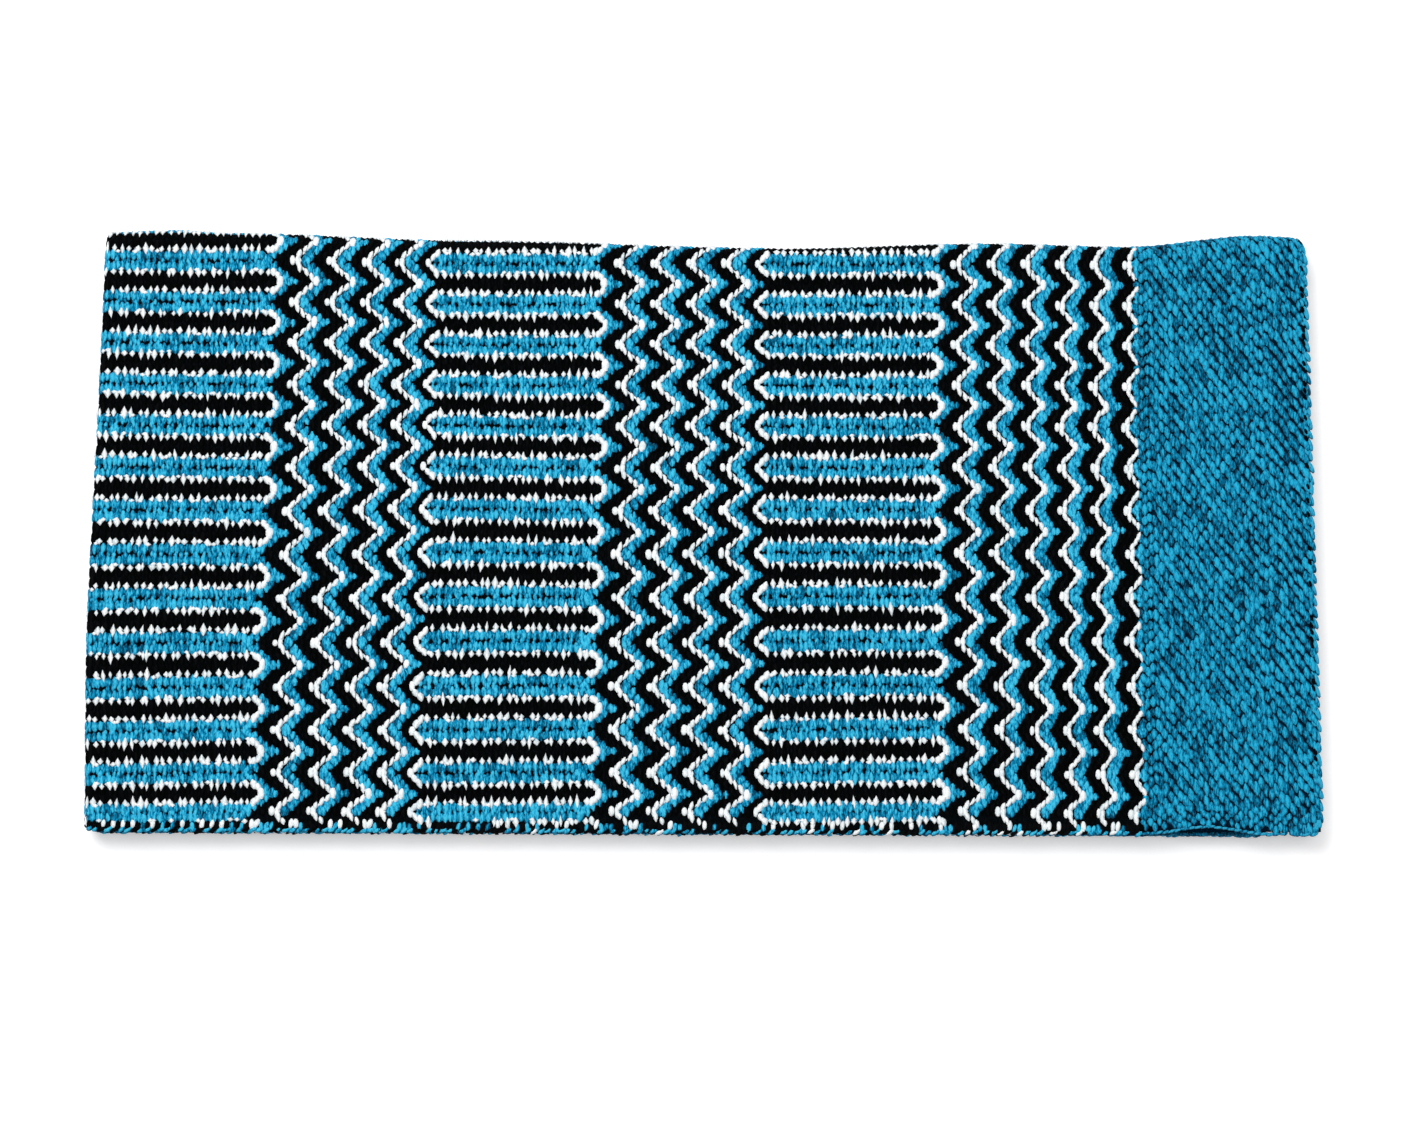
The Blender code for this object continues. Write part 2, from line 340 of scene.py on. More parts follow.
def dyed_wool(name, deep, middle, bright, roughness=0.95, sheen=0.03, relief=0.5, tone_share=0.8, gloss=0.08):
    """Matt wool yarn in three shades of one dye, streaked along the fibre and ridged by its twist."""
    material, tree = new_material(name)
    place = add_node(tree, "TexCoord").outputs["Object"]
    stretched = add_node(tree, "Mapping", inputs={"Vector": place, "Scale": FIBRE_STRETCH})
    fibres = add_node(tree, "TexNoise", inputs={
        "Vector": stretched.outputs[0], "Scale": 1 / FIBRE_STREAK, "Detail": 3.0, "Roughness": 0.6})
    patches = add_node(tree, "TexNoise",
                       inputs={"Vector": place, "Scale": 1 / DYE_PATCH, "Detail": 2.0})
    # the per-point attribute: a random tone per float plus painted shade that darkens each float towards its
    # base
    tone_and_painted_shade = add_node(tree, "Attribute", {"attribute_name": "tone_and_painted_shade"})
    shade = -tone_share / 2
    for source, share in ((tone_and_painted_shade, tone_share), (fibres, FIBRE_SHARE), (patches, PATCH_SHARE)):
        mixed = add_node(tree, "Math", {"operation": "MULTIPLY_ADD"},
                         {0: source.outputs["Fac"], 1: share, 2: shade})
        shade = mixed.outputs[0]
    shade = add_node(tree, "Math", {"operation": "SUBTRACT", "use_clamp": True},
                     {0: shade, 1: SHADE_LOSS})
    ramp = add_node(tree, "ValToRGB", inputs={"Fac": shade.outputs[0]})
    stops = ramp.color_ramp.elements
    stops.new(SHADE_PLACES[1])
    for stop, stop_place, code in zip(stops, SHADE_PLACES, (deep, middle, bright)):
        stop.position = stop_place
        stop.color = colour(code)
    twist = add_node(tree, "TexWave", {"bands_direction": "DIAGONAL"}, {
        "Vector": place, "Scale": WAVE_REPEAT / YARN_TWIST, "Distortion": 3.0,
        "Detail": 2.0, "Detail Scale": 1.5})
    ridges = add_node(tree, "Math", {"operation": "MULTIPLY_ADD"},
                      {0: twist.outputs["Fac"], 1: TWIST_SHARE, 2: fibres.outputs["Fac"]})
    bump = add_node(tree, "Bump", inputs={
        "Height": ridges.outputs[0], "Strength": relief, "Distance": TWIST_DEPTH})
    wool = add_node(tree, "BsdfPrincipled", inputs={
        "Base Color": ramp.outputs["Color"], "Roughness": roughness, "Normal": bump.outputs[0],
        "Sheen Weight": sheen, "Sheen Roughness": 0.5, "Specular IOR Level": gloss})
    add_node(tree, "OutputMaterial", inputs={"Surface": wool.outputs[0]})
    return material


turquoise_wool = dyed_wool("turquoise_wool_weft", "#004462", "#0090C0", "#42C6EA")
band_wool = dyed_wool("turquoise_wool_band", "#002A42", "#007AA5", "#26B4DE", tone_share=0.7)
cord_wool = dyed_wool("turquoise_wool_cord", "#00344C", "#007DAA", "#34B0D6")
white_wool = dyed_wool("bleached_white_wool_weft", "#D5E2E7", "#F2F8FA", "#FDFFFF", sheen=0.0, tone_share=0.5)
black_wool = dyed_wool("black_wool_weft", "#010202", "#040506", "#0A0B0D", roughness=1.0, sheen=0.0,
                       relief=0.3, gloss=0.03)
# painted shade: the ground's near black under the pattern and deep teal under the band stand for the dark
# crevices between floats
crevice_shade_ground = dyed_wool("ground_painted_dark_as_crevice_shade_under_pattern", "#010304", "#030608", "#080D11",
                      sheen=0.0, gloss=0.03)
teal_crevice_shade_ground = dyed_wool("ground_painted_teal_as_crevice_shade_under_band", "#010F1C", "#021A2B", "#04283E", sheen=0.0, gloss=0.03)

# %% [markdown]
# ## The ground of the cloth
#
# Under the floats runs the ground: warp threads packed in their weft, seen only in the dark crevices between
# the floats. Its colour, near black under the pattern and deep teal under the plain band, is painted shade:
# the dark of those crevices. Each half of the blanket is one sheet that doubles back round its length fold,
# and strips of the same sheet turn round the far side, where the hinge opens them. They are closed sheets a
# little thinner than the cloth, so that the floats laid on them fill it up to its real thickness.

# %% Ground sheets
GROUND_LOW = 0.15 * MM
GROUND_TOP = 4.4 * MM
SELVEDGE_CORD = 5.6 * MM
FOLD_PULL = 3.2 * MM
FOLD_PULL_REACH = 12 * MM
UNDER_CORD = 4.2 * MM
COARSE_STEP, FINE_STEP = 9 * MM, 1 * MM
LEAF_ROWS, OUTER_ROWS, END_ROWS, INNER_ROWS = 46, 24, 25, 17
TINY = 1e-6


def mesh_object(name, points, faces, materials, face_material=None, tone_and_painted_shade=None):
    """A smooth mesh object from an array of points and an array of faces with equal corner counts."""
    corners = faces.shape[1]
    mesh = bpy.data.meshes.new(name)
    mesh.vertices.add(len(points))
    mesh.vertices.foreach_set("co", points.astype(np.float32).ravel())
    mesh.loops.add(faces.size)
    mesh.loops.foreach_set("vertex_index", faces.astype(np.int32).ravel())
    mesh.polygons.add(len(faces))
    mesh.polygons.foreach_set("loop_start", np.arange(0, faces.size, corners, dtype=np.int32))
    mesh.update(calc_edges=True)
    mesh.polygons.foreach_set("use_smooth", np.ones(len(faces), bool))
    for material in materials:
        mesh.materials.append(material)
    if face_material is not None:
        mesh.polygons.foreach_set("material_index", face_material.astype(np.int32))
    tone_values = np.full(len(points), 0.5) if tone_and_painted_shade is None else tone_and_painted_shade
    mesh.attributes.new("tone_and_painted_shade", "FLOAT", "POINT").data.foreach_set("value", tone_values.astype(np.float32))
    made = bpy.data.objects.new(name, mesh)
    bpy.context.collection.objects.link(made)
    return made


def closed_sheet(name, reaches, near_runs, far_runs, rows):
    """A closed sheet of cloth between two edges, given for each reach, with an outer and an inner face."""
    share = np.linspace(0, 1, rows)
    reach = np.repeat(reaches[:, None], rows, axis=1)
    run = near_runs[:, None] + (far_runs - near_runs)[:, None] * share
    outer = on_cloth(reach, run, np.full_like(run, GROUND_TOP)).reshape(-1, 3)
    inner = on_cloth(reach, run, np.full_like(run, GROUND_LOW)).reshape(-1, 3)
    total = run.size
    index = np.arange(total).reshape(-1, rows)
    corners = (index[:-1, :-1], index[1:, :-1], index[1:, 1:], index[:-1, 1:])
    a, b, c, d = (corner.ravel() for corner in corners)
    rim = np.concatenate([index[:, 0], index[-1, 1:], index[-2::-1, -1], index[0, -2:0:-1]])
    following = np.roll(rim, -1)
    faces = np.concatenate([
        np.stack([a, b, c, d], axis=1),
        np.stack([d, c, b, a], axis=1) + total,
        np.stack([rim, rim + total, following + total, following], axis=1),
    ])
    band = np.where(reach.ravel() > 0, LONG_BAND, SHORT_BAND)
    past_pattern = np.concatenate([outer[:, 0] > band, inner[:, 0] > band])
    plain = past_pattern[faces].all(axis=1).astype(int)
    return mesh_object(name, np.concatenate([outer, inner]), faces, [crevice_shade_ground, teal_crevice_shade_ground], plain)


def reach_steps(start, end):
    """Reaches from start to end, close together where the cloth turns the length fold."""
    fold = np.arange(-FOLD_HALF, FOLD_HALF + FINE_STEP / 2, FINE_STEP)
    fold = fold[(fold >= start - TINY) & (fold <= end + TINY)]
    before, after = (max(2, int(way / COARSE_STEP)) for way in (-FOLD_HALF - start, end - FOLD_HALF))
    left = np.linspace(start, -FOLD_HALF, before)[:-1] if start < -FOLD_HALF else []
    right = np.linspace(FOLD_HALF, end, after)[1:] if end > FOLD_HALF else []
    return np.concatenate([left, fold, right])


def near_edge_y(reach, upper):
    """Y of the near selvedge. The base leaf's lies further back, and the length fold carries it over."""
    drawn_in = FOLD_PULL * np.clip(1 - np.abs(reach) / FOLD_PULL_REACH, 0, 1) ** 2
    if upper:
        return NEAR + drawn_in
    share = np.clip(0.5 + reach / FOLD_HALF / 2, 0, 1)
    return NEAR + drawn_in + (LOWER_NEAR - NEAR) * share


def near_run(reach, inward, upper):
    """Run of a line that keeps its distance inward from the near selvedge."""
    return run_at(x_on_leaf(reach), near_edge_y(reach, upper) + inward, upper, right_end(reach))


def turn_run(reach):
    """Run where the cloth begins to turn round the far side."""
    return far_edge(x_on_leaf(reach), right_end(reach))


def turn_sheet(name, reaches, rows):
    """A strip of the ground that turns round the far side."""
    start = turn_run(reaches)
    return closed_sheet(name, reaches, start, start + 2 * TURN_HALF, rows)


long_end = reach_at(leaf["top"]["hem_end"] + UNDER_CORD, True)
short_end = reach_at(leaf["third"]["hem_end"] + UNDER_CORD, False)
inner_end = reach_at(SHORT_RIGHT + 1 * MM, True)
cloth = reach_steps(short_end, long_end)
upper_ground = closed_sheet("upper_half_ground", cloth, near_run(cloth, SELVEDGE_CORD / 2, True),
                            turn_run(cloth), LEAF_ROWS)
lower_ground = closed_sheet("lower_half_ground", cloth, turn_run(cloth) + 2 * TURN_HALF,
                            near_run(cloth, SELVEDGE_CORD / 2, False), LEAF_ROWS)
outer_ground = turn_sheet("outer_turn_ground", reach_steps(FOLD_HALF, inner_end), OUTER_ROWS)
outer_end_ground = turn_sheet("outer_turn_end_ground", np.linspace(inner_end, long_end, 6), END_ROWS)
inner_ground = turn_sheet("inner_turn_ground", reach_steps(short_end, -FOLD_HALF), INNER_ROWS)
corner_outer = turn_sheet("corner_turn_outer_ground", reach_steps(0, FOLD_HALF), END_ROWS)
corner_inner = turn_sheet("corner_turn_inner_ground", reach_steps(-FOLD_HALF, 0), INNER_ROWS)

# %% [markdown]
# ## One float, modelled once
#
# A float is a short length of yarn that rises out of the cloth, swells and dives back in: a grain of rice,
# flat underneath. It starts as a sphere whose poles become the two ends. Its lower half is pressed flat in
# edit mode. The same grain with fewer sides serves the faces that lie hidden until the blanket is opened, and
# a full round one serves cords and loops.

# %% Model the grains
FLATTENED = (1, 1, 0.25)
BELOW = -0.01
SHOULDER_START, SHOULDER_END = 0.2, 0.48


def press(grain, chosen, scale):
    """Scales a grain's chosen points in edit mode."""
    for vertex in grain.data.vertices:
        vertex.select = chosen(vertex.co)
    bpy.ops.object.mode_set(mode="EDIT")
    bpy.ops.transform.resize(value=scale, center_override=(0, 0, 0))
    bpy.ops.object.mode_set(mode="OBJECT")


def model_grain(sides, rings, flat_below, pointed=1.0):
    """A grain of rice made from a sphere: its points from -0.5 to 0.5 along and across, and its triangles.

    Rings near the ends are drawn in to make a pointed grain."""
    bpy.ops.object.select_all(action="DESELECT")
    bpy.ops.mesh.primitive_uv_sphere_add(segments=sides, ring_count=rings, radius=0.5)
    grain = bpy.context.object
    bpy.ops.object.mode_set(mode="EDIT")
    bpy.ops.mesh.select_all(action="SELECT")
    bpy.ops.transform.rotate(value=math.pi / 2, orient_axis="X", center_override=(0, 0, 0))
    bpy.ops.mesh.quads_convert_to_tris()
    bpy.ops.mesh.select_all(action="DESELECT")
    bpy.ops.object.mode_set(mode="OBJECT")
    if flat_below:
        press(grain, lambda place: place.z < BELOW, FLATTENED)
    if pointed < 1:
        press(grain, lambda place: SHOULDER_START < abs(place.y) < SHOULDER_END, (pointed, 1, 1))
    points = np.array([v.co for v in grain.data.vertices])
    faces = np.array([p.vertices[:] for p in grain.data.polygons])
    if flat_below:
        points[:, 2] = (points[:, 2] - points[:, 2].min()) / np.ptp(points[:, 2])
    points[:, 0] /= np.ptp(points[:, 0])
    bpy.data.objects.remove(grain)
    return points, faces


full_grain = model_grain(6, 5, True)
leaf_grain = model_grain(6, 5, True, pointed=0.6)
tooth_grain = model_grain(6, 4, True, pointed=0.36)
pointed_grain = model_grain(6, 4, True, pointed=0.74)
plain_grain = model_grain(4, 4, True)
hidden_grain = model_grain(4, 3, True)
under_grain = model_grain(3, 3, True)
round_grain = model_grain(8, 6, False)
small_round_grain = model_grain(5, 4, False)
print("triangles in a full and in a round grain:", len(full_grain[1]), len(round_grain[1]))

# %% [markdown]
# ## The pattern
#
# The rows repeat: a black stripe edged by white teeth, then a turquoise stripe of two rows of floats. In the
# zigzag bands each line swings right at every black stripe and back left at every turquoise one. A line is
# one chain of white floats, two of turquoise on a low bed and three of black. Where a zigzag band meets
# stripes, the last white chain closes round each stripe's end. The pattern is traditional. Rules build it.

# %% Rows and columns of the weave
FIRST_BLACK_ROW = -181.3 * MM
SLACK_BEAT = 3.7 * MM
SLACK_ROWS = 13.2
SELVEDGE_SQUEEZE = 0.8
ROWS = np.arange(-1, 28)
SOLID_START = 711.2 * MM
PATTERN_END = 713.0 * MM
COMMON_PITCH = 23.85 * MM
rng = np.random.default_rng(7)


def beat_up(row):
    """Run of a row, counted in whole repeats from the black stripe nearest the selvedge.

    The weaver's beat is never even: rows lie slacker in mid cloth and tighter at the selvedge."""
    slack = SLACK_BEAT * np.sin(math.pi * np.clip(row, 0, SLACK_ROWS) / SLACK_ROWS) ** 2
    return FIRST_BLACK_ROW + ROW_PERIOD * np.where(row > 0, row, SELVEDGE_SQUEEZE * row) + slack


def floats(across, along, wide, length, tall, tilt=0.0, taper=0.0, lift=0.0):
    """Floats as rows of numbers: place across and along the cloth, size, tilt in degrees, taper and lift.

    Sizes and lift are in millimetres."""
    columns = np.broadcast_arrays(across, along, wide * MM, length * MM, tall * MM, np.radians(tilt),
                                  taper, lift * MM)
    return np.stack([np.ravel(column).astype(float) for column in columns], axis=1)


def chain(tip, swing, count, wide, length, tall, tilt, shift=0.0, least=0.0):
    """One zigzag chain up the whole cloth: left tips on turquoise rows, swinging right by black rows."""
    phase = (np.arange(count) + shift) / count
    share = np.maximum(1 - np.abs(1 - 2 * phase), least)
    side = np.where((phase == 0) | (phase == 0.5), 0, np.where(phase < 0.5, 1, -1))
    row = (ROWS[:, None] + 0.5 + phase).ravel()
    across = np.tile(tip + swing * share, len(ROWS))
    return floats(across, beat_up(row), wide, length, tall, tilt * np.tile(side, len(ROWS)))


def beside(row, offset):
    """Run of a line that keeps beside a row, closer in the squeezed rows at the selvedge."""
    squeezed = (row < 0) | ((row == 0) & (offset < 0))
    return beat_up(row) + offset * np.where(squeezed, SELVEDGE_SQUEEZE, 1)


def row_of(start, end, pitch, row, offset, wide, length, tall, taper=0.0, spread=0.0, kept=1.0, lift=0.0):
    """One straight row of floats on every repeat, offset from the row's middle and spread unevenly."""
    count = max(1, int(round((end - start) / pitch)))
    across = start + (np.arange(count) + 0.5) * (end - start) / count
    along = beside(ROWS + row, offset)[:, None]
    laid = floats(across[None, :], along, wide, length, tall, 0, taper, lift)
    laid[:, 0] += pitch * spread * rng.uniform(-1, 1, len(laid))
    return laid[rng.random(len(laid)) < kept]


# %% Zigzag bands
BAND_PARTS = ("first", "lines", "steps", "pitch", "swing", "calm", "bulge")
BANDS = [dict(zip(BAND_PARTS, parts)) for parts in (
    (129.7 * MM, 4, 4, 23.85 * MM, 16.7 * MM, 0.0, 2.4 * MM),
    (357.2 * MM, 4, 4, 23.85 * MM, 17.0 * MM, 0.0, 0.5 * MM),
    (588.1 * MM, 6, 5, 23.30 * MM, 15.6 * MM, 0.06, 1.6 * MM),
)]
STITCH_TALL, STITCH_TAPER, STITCH_LIFT = 1.8, 0.14, 0.35
# the pointed steps of a white line: share of the swing, distance off the row, width and length
WHITE_STEPS = ((0.27, 4.6, 3.1, 7.4), (0.52, 8.2, 2.7, 6.8), (0.76, 11.2, 3.0, 6.6))
pattern = {"white": [], "stitch": [], "knob": [], "turquoise": [], "black": []}


def put(yarn, layout, *measures, **more):
    """Adds floats of one yarn to the pattern, laid out one by one, as a chain or as a straight row."""
    pattern[yarn].append(layout(*measures, **more))


def put_stitch(across, row, off, side, wide, length, tilt):
    """Adds a leaf-shaped white float beside a row, leaning and tapering towards it."""
    put("stitch", floats, across, beside(row, side * off * MM), wide, length, STITCH_TALL,
        tilt, STITCH_TAPER * np.sign(tilt), STITCH_LIFT)


def white_line(tip, swing):
    """The white line's floats: a knob at each left tip, a round turn, pointed steps and a tall right tip."""
    put("knob", floats, tip - 0.2 * MM, beat_up(ROWS + 0.5), 3.7, 6.8, 1.9, lift=0.2)
    put("knob", floats, tip + 2.9 * MM, beat_up(ROWS + 0.5), 3.2, 9.2, 1.7)
    put("white", chain, tip + 1.0 * MM, swing - 1.0 * MM, 10, 1.8, 4.6, 1.2, 32, least=0.2)
    for side, tilt in ((1, 20), (-1, 13)):
        for share, off, wide, length in WHITE_STEPS:
            put_stitch(tip + share * swing, ROWS + 0.5, off, side, wide, length, tilt * side)
    put("knob", floats, tip + swing - 0.3 * MM, beat_up(ROWS), 4.2, 8.2, 1.9, lift=0.2)


def zigzag_line(tip, pitch, swing, after_stripes=False):
    """A white line, turquoise petals on a low bed and three black chains, all swinging together.

    The first line after the stripes has their ends for its white, and its colours reach into them."""
    if after_stripes:
        further = 2.8 * MM
        put("turquoise", chain, tip + 4.2 * MM, swing - 2.4 * MM, 8, 4.2, 7.2, 1.5, 10)
    else:
        further = 0
        white_line(tip, swing)
    put("turquoise", chain, tip + 7.6 * MM - further, swing - 3.4 * MM + further, 6, 6.2, 7.6, 0.9, 0)
    put("turquoise", chain, tip + 6.3 * MM - further, swing - 3.1 * MM + further, 8, 4.2, 7.2, 1.55, 10,
        shift=0.5)
    put("turquoise", chain, tip + 10.1 * MM - further, swing - 4.2 * MM + further, 8, 4.0, 7.4, 1.7, -6)
    put("turquoise", floats, tip + swing + 8.6 * MM, beat_up(ROWS), 4.0, 6.4, 1.75)
    for step, draw in ((13.8, 3.0), (18.1, 3.0), (22.1, 2.8)):
        start = tip + step * MM * pitch / COMMON_PITCH - further
        put("black", chain, start, swing - draw * MM + further, 7, 4.3, 7.0, 1.4, 18)
        further *= 0.5


for band in BANDS:
    tips = band["first"] + band["pitch"] * np.arange(band["lines"])
    tips = tips + band["bulge"] * np.sin(math.pi * np.arange(band["lines"]) / band["steps"])
    zigzag_line(band["first"] - band["pitch"], band["pitch"], band["swing"], after_stripes=True)
    for number, tip in enumerate(tips):
        zigzag_line(tip, band["pitch"], band["swing"] * (1 - band["calm"] * (number + 1)))
for across, rise in ((4.6, 0), (8.1, 4.8), (8.1, -4.8), (7.6, 0.4)):
    put("turquoise", floats, tips[-1] + across * MM, beat_up(ROWS + 0.5) + rise * MM, 3.6, 4.8, 1.6)
print("zigzag floats:", sum(len(part) for parts in pattern.values() for part in parts))

# %% Stripe bands, with rounded ends
TEETH_OFF = 6.3 * MM
ROOTS_OFF = 8.0 * MM
CORE_OFF = 4.0 * MM
BED_OFF = 4.4 * MM
BLACK_OFF = 3.3 * MM
TOOTH_PITCH, CORE_PITCH, BED_PITCH, BLACK_PITCH = 5.2 * MM, 3.5 * MM, 5.6 * MM, 4.4 * MM


def striped_band(tongue, band):
    """Stripes from the rounded turquoise tongues at the left to the capped black stripes at the right."""
    left_tip = band["first"] - band["pitch"]
    cap = left_tip + band["swing"] - 1.6 * MM
    start, teeth_end = tongue + 8.4 * MM, cap - 6.2 * MM
    core_start, core_end = tongue + 6.2 * MM, left_tip + 4.6 * MM
    for side in (1, -1):
        teeth = row_of(start, teeth_end, TOOTH_PITCH, 0, side * TEETH_OFF, 4.0, 7.0, 1.9,
                       taper=-0.1 * side, spread=0.24, lift=0.45)
        teeth[:, 3] *= rng.choice((0.75, 1.0, 1.35), len(teeth), p=(0.4, 0.42, 0.18))
        teeth[:, 2] *= rng.choice((0.75, 1.0, 1.15), len(teeth))
        pattern["white"].append(teeth)
        put("white", row_of, start, teeth_end, TOOTH_PITCH, 0, side * ROOTS_OFF, 4.2, 3.2, 1.8,
            spread=0.5, kept=0.4, lift=0.3)
        put("turquoise", row_of, core_start, core_end, CORE_PITCH, 0.5, side * CORE_OFF, 3.7, 8.4, 1.65,
            taper=0.08 * side, spread=0.18)
        put("turquoise", row_of, core_start, core_end, BED_PITCH, 0.5, side * BED_OFF, 8.4, 6.4, 0.9)
        put("black", row_of, tongue + 5 * MM, cap - 2.2 * MM, BLACK_PITCH, 0, side * BLACK_OFF, 4.6, 8.6, 1.4)
        for across, off, tilt in ((2.2, 4.7, 24), (4.9, 6.6, 10)):
            put_stitch(cap - across * MM, ROWS, off, side, 4.0, 7.0, -tilt * side)
    put("turquoise", row_of, core_start, core_end, CORE_PITCH, 0.5, 0, 2.8, 5.4, 1.5, spread=0.45, kept=0.72)
    put("knob", floats, cap, beat_up(ROWS), 4.5, 9.2, 1.9, lift=0.2)


def tongue_ends(tongue):
    """The white line that closes round the left end of each turquoise stripe."""
    put("knob", floats, tongue - 0.4 * MM, beat_up(ROWS + 0.5), 3.8, 7.2, 1.9, lift=0.2)
    for side in (1, -1):
        for across, off, length, tilt in ((2.7, 4.2, 7.6, 24), (5.8, 7.2, 7.2, 18)):
            put_stitch(tongue + across * MM, ROWS + 0.5, off, side, 4.0, length, tilt * side)
        put("turquoise", floats, tongue + 4.6 * MM, beside(ROWS + 0.5, side * 2.6 * MM), 3.6, 5.4, 1.6)


tongues = [-60 * MM]
for band in BANDS[:2]:
    tongues.append(band["first"] + band["pitch"] * band["lines"])
    tongue_ends(tongues[-1])
for tongue, band in zip(tongues, BANDS):
    striped_band(tongue, band)
print("all pattern floats:", {name: sum(len(part) for part in parts) for name, parts in pattern.items()})

# %% The plain band at the blanket's end
BAND_COLUMN = 3.4 * MM
BAND_ROW = 9.4 * MM
SQUEEZED_DEPTH = 17 * MM
RUN_START, RUN_END = -0.22, float(beat_up(np.array(27.5)))
HEM_START = leaf["top"]["hem_start"] - OUTLINE_LEFT
BAND_END = leaf["top"]["hem_end"] - OUTLINE_LEFT + 2.6 * MM
FINE_END = SOLID_START + 3 * BAND_COLUMN
SQUEEZE_END = NEAR + SQUEEZED_DEPTH
SQUEEZE_AGAIN = float(run_at(leaf["base"]["hem_start"], LOWER_NEAR, False, LONG_RIGHT)) - SQUEEZED_DEPTH
# each part: start, end, column and row pitch, then a float's width, length and tilt
SQUEEZED_PARTS = ((SOLID_START, BAND_END, 3.2 * MM, 6.4 * MM, 4.0, 6.6, -4),)
LOOSE_PARTS = (
    (SOLID_START, FINE_END, BAND_COLUMN, 7.4 * MM, 4.3, 7.6, -3),
    (FINE_END, HEM_START, BAND_COLUMN, BAND_ROW, 4.5, 9.8, -9),
    (HEM_START + 0.4 * MM, BAND_END, BAND_COLUMN, BAND_ROW, 4.2, 10.0, -15),
)


def plain_band(lowest, highest, start, end, column, row, wide, length, tilt):
    """Rice-grain floats in columns, each column half a step from the last."""
    across = np.arange(start + column / 2, end, column)
    along = np.arange(lowest, highest, row)
    columns, rows = np.meshgrid(across, along, indexing="ij")
    stagger = (np.arange(len(across)) % 2 + rng.uniform(-0.25, 0.25, len(across)))[:, None] * row / 2
    return floats(columns, rows + stagger, wide, length, 1.65, tilt)


band_floats = []
for lowest, highest, parts in ((RUN_START, SQUEEZE_END, SQUEEZED_PARTS),
                               (SQUEEZE_END, SQUEEZE_AGAIN, LOOSE_PARTS),
                               (SQUEEZE_AGAIN, RUN_END, SQUEEZED_PARTS)):
    for part in parts:
        band_floats.append(plain_band(lowest, highest, *part))
print("band floats:", sum(len(part) for part in band_floats))

# %% Bring the colours together and loosen them
WANDER = 0.5 * MM


def loosen(parts, place=0.28 * MM, size=0.09, tilt=4.5):
    """Joins parts and gives each float the small unevenness of hand work."""
    all_floats = np.concatenate(parts)
    count = len(all_floats)
    across, along = all_floats[:, 0], all_floats[:, 1]
    all_floats[:, 0] += WANDER * (np.sin(37 * along + 11 * across) + np.sin(91 * along - 23 * across + 1.3))
    all_floats[:, 1] += WANDER * np.sin(29 * across + 17 * along + 0.7)
    all_floats[:, 0:2] += rng.normal(0, place, (count, 2))
    all_floats[:, 2:4] *= 1 + rng.normal(0, size, (count, 2))
    all_floats[:, 5] += np.radians(rng.normal(0, tilt, count))
    return all_floats


DRIFT_ACROSS = np.array((0, 130, 217, 348, 432, 577, 634, 690, 713)) * MM
DRIFT_RUN = np.array((-175, -114, -27, 48, 163)) * MM
SIDEWAYS = (
    (0, -2.6, -5.6, -3.0, 0.0, 0.7, 1.5, -1.4, -0.6),
    (0, -1.9, -4.2, -3.2, -1.0, 0.7, 1.5, -0.4, -0.6),
    (0, -0.2, -2.4, -2.7, -0.7, 0.8, 0.4, -1.6, -0.6),
    (0, 2.7, 1.0, -0.2, -0.3, -1.0, -1.0, -1.4, -0.6),
    (0, 1.4, 0.0, -1.7, 0.3, 0.4, -0.6, 0.5, 1.2),
)
ONWARD = (
    (-1.2, -0.2, 0.3, 0.3, 0.7, 1.7, 1.0, 0.7, 0),
    (-3.9, -2.8, -1.5, -1.5, -0.7, 0.1, 0, 0, 0),
    (-3.7, -2.7, -1.3, -0.8, -0.9, 0.7, 0, 0, 0),
    (-1.2, -0.8, -0.1, -0.4, -0.5, 0.8, 0, 0, 0),
    (1.2, 0.0, -0.3, -1.2, 0.0, -1.0, 0, 0, 0),
)


def drift(table, across, run):
    """How far the weave has crept at a place, from a small table of millimetres."""
    lines = np.stack([np.interp(across, DRIFT_ACROSS, line) for line in table])
    place = np.clip(np.interp(run, DRIFT_RUN, np.arange(len(DRIFT_RUN))), 0, len(DRIFT_RUN) - 1.001)
    low = place.astype(int)
    share = place - low
    every = np.arange(len(across))
    return MM * (lines[low, every] * (1 - share) + lines[low + 1, every] * share)


def creep(placed):
    """Moves the pattern by the creep of its rows and lines, as wear and folding have pulled them."""
    across, run = placed[:, 0].copy(), placed[:, 1].copy()
    placed[:, 0] += drift(SIDEWAYS, across, run)
    placed[:, 1] += drift(ONWARD, across, run)
    return placed


woven = {name: loosen(parts) for name, parts in pattern.items()}
woven = {name: creep(part[part[:, 0] < PATTERN_END]) for name, part in woven.items()}
woven["band"] = loosen(band_floats, place=0.24 * MM, size=0.1, tilt=5)

# %% [markdown]
# ## Laying the floats on the folded cloth
#
# Each colour is laid as its own mesh, because a piece of one yarn keeps a clean edge against the next. The
# top face gets the full grain. The faces inside the pack and underneath get simpler ones. Floats on the far
# turns go into their own pieces, which part at the hinge.

# %% Lay floats region by region
WOOL = {"white": white_wool, "stitch": white_wool, "knob": white_wool, "turquoise": turquoise_wool,
        "black": black_wool, "band": band_wool}
SLOT = {shade: "turquoise_weave" if shade == "band" else "patterned_weave" for shade in WOOL}
SEAT = 0.25 * MM
FULL_RISE = 1.6 * MM
PAINTED_SHADE_WHERE_SUNK = 0.9
WOVEN_INWARD = 7.2 * MM
PLAIN_INWARD = 3.6 * MM
BARE_ROUND = 4.8 * MM
INNER_SEAT = 0.35 * MM
CORNER_SQUASH = 0.5
CUT_BACK = 1.5 * MM
BAND_REACH = (reach_at(SHORT_BAND, False), reach_at(LONG_BAND, True))
made_pieces = []


